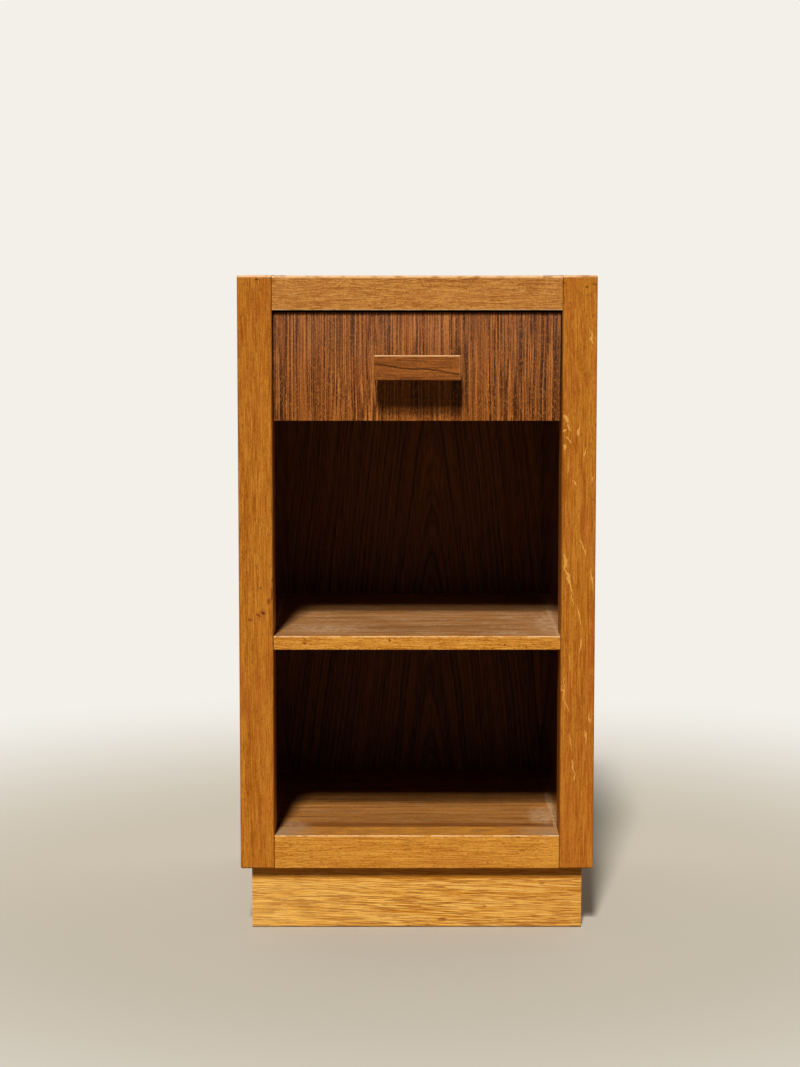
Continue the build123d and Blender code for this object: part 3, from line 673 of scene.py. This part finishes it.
def dusty_board(name, shift, settings, dark, light, node, haze, patches, dirt=0.0):
    """A shelf or base: brown veneer with grain from side to side, and grey dust on its upper face.

    haze is the strength of the thin film all over, and patches lists thicker dust. Dust also lies
    along the right side, and dirt is the strength of a dark line of old dirt along the front.
    """
    finish = new_finish(name)
    tint, height, _ = wood(finish, GRAIN_ACROSS, shift, dark, light, settings.umber, SHELF_FIGURE)
    low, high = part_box(node)
    top = high[2]
    z = finish.parts(finish.place)[2]
    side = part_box("right_runner")[1][0]
    corner = finish.near_line((side, 0.0, top), (1.0, 0.0, 1.0), 1.5, 5.0)
    film = finish.noise(finish.place, mm(40, 14, 20), 4.0, 0.65).rise(0.4, 0.7) * haze
    film = film.at_least(corner)
    for x, y, wide, deep in patches:
        thick = finish.patch(finish.place, (x * MM, y * MM, top), mm(wide, deep, 100), 0.3, 1.2)
        film = film.at_least(thick * 0.75)
    mottle = finish.noise(finish.place, mm(8, 14, 8), 5.0, 0.75).rise(0.3, 0.62)
    cover = film * mottle * z.rise(top - 0.6 * MM, top - 0.2 * MM)
    tint = finish.mix(cover * 0.8, tint, settings.dust)
    front = finish.near_line((0.0, low[1] + 17 * MM, top), (0.0, 1.0, 1.0), 5.0, 19.0)
    tint = finish.mix(front * (1 - film * 0.6) * dirt, tint, settings.umber)
    return finish.surface(tint, cover * 0.2 + 0.5, height, FINE_GRAIN)


def inside_colour(finish, turn, shift, settings):
    """Colour of the dark veneer inside the cabinet."""
    return wood(finish, turn, shift, settings.side_dark, settings.side_light, settings.plum, DARK_FIGURE)[0]


def cathedral_panel(name, settings):
    """Dark veneer in two mirrored leaves, whose lines close in pointed arches.

    With a = |x - seam|, a line of the figure is a curve of equal sqrt(a^2 + w^2) + z / rise:
    steep and close at the sides, and arched near the seam.
    """
    finish = new_finish(name)
    seam = 18 * MM
    width = 12 * MM
    rise = 9.0
    line = finish.warp(finish.place, mm(60, 60, 160), mm(4, 0, 0))
    x, _, z = finish.parts(line)
    aside = (x - seam).size()
    course = (aside * aside + width * width).root() + z / rise
    flat = finish.node("ShaderNodeCombineXYZ", inputs={0: course, 1: z})
    rings = finish.noise(flat, mm(2.6, 400, 1000), 3.0, 0.55)
    fibres = finish.noise(finish.place, mm(1.2, 1.2, 30), 2.0)
    tone = (rings - NOISE_MEAN) * 2.0 + (fibres - NOISE_MEAN) * 1.2 + 0.5
    tint = finish.mix(tone.rise(0.0, 1.0), settings.back_dark, settings.back_light)
    return finish.surface(tint, 0.5, fibres, 0.05 * MM)


def bare_wood(name, turn, shift, settings, dark, light):
    """Unfinished wood of the drawer box and the hidden pieces."""
    finish = new_finish(name)
    tint, height, _ = wood(finish, turn, shift, dark, light, settings.pine_dark, BARE_FIGURE)
    return finish.surface(tint, BARE, height, 0.08 * MM)


def steel(name, settings):
    """Dull zinc-plated steel with fine turning marks."""
    finish = new_finish(name)
    marks = finish.noise(finish.place, mm(0.4, 0.4, 0.4), 2.0)
    darker = tuple(0.8 * channel for channel in settings.steel)
    tint = finish.mix(marks, darker, settings.steel)
    return finish.surface(tint, marks * 0.2 + 0.3, marks, 0.02 * MM, 0.5, 1.0)


def paint(material, *nodes):
    """Gives CAD nodes a material."""
    for name in nodes:
        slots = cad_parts[name].data.materials
        slots.clear()
        slots.append(material)


def side_finish(name, side, shift, woods, veneers):
    """A side board: oak outside and on its edges, polished dark veneer on its inner face.

    On the inner face, dust has settled just above the shelf and the base, up to 20 mm high.
    """
    finish = new_finish(name)
    outer, height = oak_colour(finish, GRAIN_UP, shift, woods, woods.post_dark, woods.post_light, 0.1)
    inner = inside_colour(finish, GRAIN_UP, shift, veneers)
    inner_x = abs(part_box("right_runner")[1][0])
    x, _, z = finish.parts(finish.place)
    outside = (x * side).rise(inner_x + 0.3 * MM, inner_x + 0.8 * MM)
    mottle = finish.noise(finish.place, mm(9, 9, 9), 3.0, 0.6).rise(0.3, 0.65)
    for board in ("base_board", "shelf_board"):
        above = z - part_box(board)[1][2]
        settled = above.rise(-1 * MM, 0.0) * (1 - above.rise(3 * MM, 20 * MM))
        inner = finish.mix(settled * (mottle * 0.5 + 0.4), inner, veneers.dust)
    tint = finish.mix(outside, inner, outer)
    return finish.surface(tint, outside * (SATIN - POLISHED) + POLISHED, height * outside, FINE_GRAIN, 0.5)


def top_finish(name, woods, veneers):
    """The top board: oak above, plain dark wood below."""
    finish = new_finish(name)
    above, height = oak_colour(finish, GRAIN_ACROSS, (0.3, 0.1, 0.2), woods,
                               woods.rail_dark, woods.rail_light)
    below = inside_colour(finish, GRAIN_ACROSS, (0.1, 0.5, 0.2), veneers)
    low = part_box("top_board")[0][2]
    upper = finish.parts(finish.place)[2].rise(low + 0.3 * MM, low + 0.8 * MM)
    return finish.surface(finish.mix(upper, below, above), SATIN, height, 0.08 * MM)


class NIGHTSTAND_OT_stage(bpy.types.Operator):
    """Add the camera, the lamps, the floor and the background"""
    bl_idname = "nightstand.stage"
    bl_label = "Stage"
    bl_options = {"REGISTER", "UNDO"}

    def execute(self, context):
        """Camera, key lamps, sky and floor."""
        scene = context.scene
        settings = scene.nightstand_stage
        add_camera(scene, settings)
        add_key_light(scene, settings)
        add_sky(scene, settings)
        add_floor(scene, settings)
        return {"FINISHED"}


def add_camera(scene, settings):
    """The camera at the photograph's height, distance and pitch."""
    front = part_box("left_post")[0][1]
    camera = bpy.data.objects.new("camera", bpy.data.cameras.new("camera"))
    scene.collection.objects.link(camera)
    camera.data.sensor_width = SENSOR
    camera.data.lens = settings.lens
    camera.data.clip_end = SIGHT
    camera.location = (settings.sideways, front - settings.distance, settings.height)
    camera.rotation_euler = (math.pi / 2 - settings.pitch, 0.0, 0.0)
    scene.camera = camera
    scene.view_settings.view_transform = "Standard"


def add_key_light(scene, settings):
    """Two soft suns, one above the other: one tall window in front and a little to the left."""
    for energy, elevation in ((settings.upper_key, settings.upper_elevation),
                              (settings.lower_key, settings.lower_elevation)):
        lamp = bpy.data.lights.new("key", "SUN")
        lamp.energy = energy
        lamp.angle = settings.key_angle
        key = bpy.data.objects.new("key", lamp)
        key.rotation_euler = (math.pi / 2 - elevation, 0.0, -settings.key_azimuth)
        scene.collection.objects.link(key)


def add_sky(scene, settings):
    """A plain sky, dimmer in front than behind, that the camera sees as the backdrop."""
    world = bpy.data.worlds.new("sky")
    scene.world = world
    sky = Finish(world)
    direction = sky.node("ShaderNodeTexCoord", output="Generated")
    behind = sky.parts(direction)[1].rise(SKY_FRONT, SKY_BACK)
    light = behind * (settings.back_fill - settings.front_fill) + settings.front_fill
    fill = sky.node("ShaderNodeBackground", inputs={"Color": SKY_TINT, "Strength": light})
    seen = sky.node("ShaderNodeBackground", inputs={"Color": settings.backdrop, "Strength": 1.0})
    camera_ray = sky.node("ShaderNodeLightPath", output="Is Camera Ray")
    both = sky.node("ShaderNodeMixShader", inputs={0: camera_ray, 1: fill, 2: seen})
    sky.node("ShaderNodeOutputWorld", inputs={"Surface": both})


def add_floor(scene, settings):
    """A large pale floor that fades into the backdrop behind the object."""
    corners = [(x * FLOOR_REACH, y * FLOOR_REACH, 0) for x, y in ((-1, -1), (1, -1), (1, 1), (-1, 1))]
    mesh = bpy.data.meshes.new("floor")
    mesh.from_pydata(corners, [], [(0, 1, 2, 3)])
    floor = bpy.data.objects.new("floor", mesh)
    scene.collection.objects.link(floor)
    finish = new_finish("pale_floor")
    far = finish.length(finish.place).rise(settings.fade_start, settings.fade_end)
    seen = finish.node("ShaderNodeLightPath", output="Is Camera Ray")
    tint = finish.mix(seen, settings.floor_bounce, settings.floor)
    ground = finish.node("ShaderNodeBsdfDiffuse", inputs={"Color": tint})
    glow = finish.node("ShaderNodeEmission", inputs={"Color": settings.backdrop, "Strength": 1.0})
    both = finish.node("ShaderNodeMixShader", inputs={0: far * seen, 1: ground, 2: glow})
    finish.node("ShaderNodeOutputMaterial", inputs={"Surface": both})
    mesh.materials.append(finish.owner)


class NIGHTSTAND_OT_frame(bpy.types.Operator):
    """Finish the oak posts, rails and shelf lip"""
    bl_idname = "nightstand.frame"
    bl_label = "Oak frame"
    bl_options = {"REGISTER", "UNDO"}

    def execute(self, context):
        """Posts, rails and lip."""
        woods = context.scene.nightstand_oak
        post = (woods, woods.post_dark, woods.post_light)
        gold = (woods, woods.gold_dark, woods.gold_light)
        rail = (woods, woods.rail_dark, woods.rail_light)
        top = [arris("left_post", True, RUBBED_TOP)]
        paint(oak("oak_left_post", GRAIN_UP, *post, (0.1, 0.2, 0.3), knots=LEFT_POST_KNOTS,
                  chips=LEFT_POST_CHIPS, worn=top, shaded=[inner_arris("left_post", -1)]), "left_post")
        paint(oak("oak_right_post", GRAIN_UP, *post, (0.5, 0.1, 0.7), 0.12, chips=RIGHT_POST_CHIPS,
                  flecks=RAY_FLECKS, worn=top, shaded=[inner_arris("right_post", 1)], deeper=0.16),
              "right_post")
        paint(oak("oak_top_rail", GRAIN_ACROSS, *rail, (0.2, 0.9, 0.1), figure=RAIL_FIGURE,
                  worn=[arris("top_rail", True, RUBBED_TOP), arris("top_rail", False, RUBBED_FOOT)]),
              "top_rail")
        paint(oak("oak_base_rail", GRAIN_ACROSS, *gold, (0.7, 0.4, 0.2), chips=BASE_RAIL_CHIPS,
                  worn=[arris("base_rail", True)], dusty="base_rail"), "base_rail")
        paint(oak("oak_shelf_lip", GRAIN_ACROSS, *gold, (0.9, 0.3, 0.6), figure=LIP_FIGURE, knots=LIP_KNOTS,
                  chips=LIP_CHIPS, worn=[arris("shelf_lip", True)], dusty="shelf_lip"), "shelf_lip")
        return {"FINISHED"}


class NIGHTSTAND_OT_boards(bpy.types.Operator):
    """Finish the sides, top, shelf, base and back"""
    bl_idname = "nightstand.boards"
    bl_label = "Veneered boards"
    bl_options = {"REGISTER", "UNDO"}

    def execute(self, context):
        """Boards behind the frame."""
        woods = context.scene.nightstand_oak
        veneers = context.scene.nightstand_veneer
        paint(side_finish("veneered_left_side", -1, (0.2, 0.6, 0.1), woods, veneers), "left_side_board")
        paint(side_finish("veneered_right_side", 1, (0.8, 0.3, 0.4), woods, veneers), "right_side_board")
        paint(top_finish("veneered_top", woods, veneers), "top_board")
        shelf = (veneers, veneers.shelf_dark, veneers.shelf_light)
        base = (veneers, veneers.base_dark, veneers.base_light)
        paint(dusty_board("veneered_shelf", (0.4, 0.2, 0.1), *shelf, "shelf_board", 0.6, SHELF_DUST),
              "shelf_board")
        paint(dusty_board("veneered_base", (0.1, 0.7, 0.3), *base, "base_board", 0.25, BASE_DUST, 0.65),
              "base_board")
        paint(cathedral_panel("veneered_back", veneers), "back_board")
        return {"FINISHED"}


class NIGHTSTAND_OT_plinth(bpy.types.Operator):
    """Finish the plinth and its corner blocks"""
    bl_idname = "nightstand.plinth"
    bl_label = "Plinth"
    bl_options = {"REGISTER", "UNDO"}

    def execute(self, context):
        """Plinth boards and blocks."""
        woods = context.scene.nightstand_oak
        bare = context.scene.nightstand_drawer_box
        paint(plinth_oak("plinth_oak_front", PLINTH_SLANT, (0.3, 0.8, 0.5), woods, PLINTH_KNOTS),
              "plinth_front")
        paint(plinth_oak("plinth_oak_back", GRAIN_ACROSS, (0.9, 0.2, 0.5), woods), "plinth_back")
        paint(plinth_oak("plinth_oak_left", GRAIN_BACK, (0.4, 0.1, 0.5), woods), "left_plinth_side")
        paint(plinth_oak("plinth_oak_right", GRAIN_BACK, (0.6, 0.5, 0.5), woods), "right_plinth_side")
        pine = bare_wood("pine_blocks", GRAIN_UP, (0.2, 0.2, 0.9), bare, bare.pine_dark, bare.pine_light)
        paint(pine, "left_front_plinth_block", "right_front_plinth_block", "left_back_plinth_block",
              "right_back_plinth_block")
        return {"FINISHED"}


class NIGHTSTAND_OT_drawer(bpy.types.Operator):
    """Finish the drawer front, the handle and the drawer box"""
    bl_idname = "nightstand.drawer"
    bl_label = "Drawer"
    bl_options = {"REGISTER", "UNDO"}

    def execute(self, context):
        """Everything on the drawer."""
        veneers = context.scene.nightstand_veneer
        bare = context.scene.nightstand_drawer_box
        paint(drawer_veneer("striped_drawer_front", veneers), "drawer_front")
        handle = handle_veneer("striped_handle", veneers, context.scene.nightstand_oak.worn)
        paint(handle, "handle_bar", "left_handle_spacer", "right_handle_spacer")
        beech = (bare, bare.beech_dark, bare.beech_light)
        paint(bare_wood("beech_sides", GRAIN_BACK, (0.2, 0.7, 0.3), *beech),
              "left_drawer_side", "right_drawer_side", "left_runner", "right_runner")
        paint(bare_wood("beech_back", GRAIN_ACROSS, (0.6, 0.7, 0.3), *beech), "drawer_back")
        paint(bare_wood("ply_bottom", GRAIN_ACROSS, (0.5, 0.1, 0.8), bare, bare.ply_dark, bare.ply_light),
              "drawer_bottom")
        return {"FINISHED"}


class NIGHTSTAND_OT_fittings(bpy.types.Operator):
    """Finish the screws"""
    bl_idname = "nightstand.fittings"
    bl_label = "Screws"
    bl_options = {"REGISTER", "UNDO"}

    def execute(self, context):
        """Every group of screws."""
        paint(steel("zinc_steel", context.scene.nightstand_drawer_box), "back_board_screws",
              "runner_screws", "plinth_screws", "handle_screws", "drawer_bottom_screws")
        return {"FINISHED"}


class NIGHTSTAND_PT_sidebar(bpy.types.Panel):
    """The nightstand's operators, in the order in which they run"""
    bl_idname = "NIGHTSTAND_PT_sidebar"
    bl_label = "Nightstand"
    bl_space_type = "VIEW_3D"
    bl_region_type = "UI"
    bl_category = "Nightstand"

    def draw(self, context):
        """One button for each operator."""
        for operator in OPERATORS:
            self.layout.operator(operator.bl_idname)


OPERATORS = (
    NIGHTSTAND_OT_stage, NIGHTSTAND_OT_frame, NIGHTSTAND_OT_boards, NIGHTSTAND_OT_plinth,
    NIGHTSTAND_OT_drawer, NIGHTSTAND_OT_fittings,
)
SETTINGS = {
    "nightstand_stage": StageSettings,
    "nightstand_oak": OakSettings,
    "nightstand_veneer": VeneerSettings,
    "nightstand_drawer_box": DrawerBoxSettings,
}


def register():
    """Registers the settings, the operators and the panel."""
    for name, group in SETTINGS.items():
        bpy.utils.register_class(group)
        setattr(bpy.types.Scene, name, PointerProperty(type=group))
    for operator in OPERATORS:
        bpy.utils.register_class(operator)
    bpy.utils.register_class(NIGHTSTAND_PT_sidebar)


def unregister():
    """Takes away what register added."""
    bpy.utils.unregister_class(NIGHTSTAND_PT_sidebar)
    for operator in reversed(OPERATORS):
        bpy.utils.unregister_class(operator)
    for name, group in SETTINGS.items():
        delattr(bpy.types.Scene, name)
        bpy.utils.unregister_class(group)


def main():
    """Makes the whole nightstand."""
    register()
    for operator in OPERATORS:
        category, name = operator.bl_idname.split(".")
        getattr(getattr(bpy.ops, category), name)()


if __name__ == "__main__":
    main()
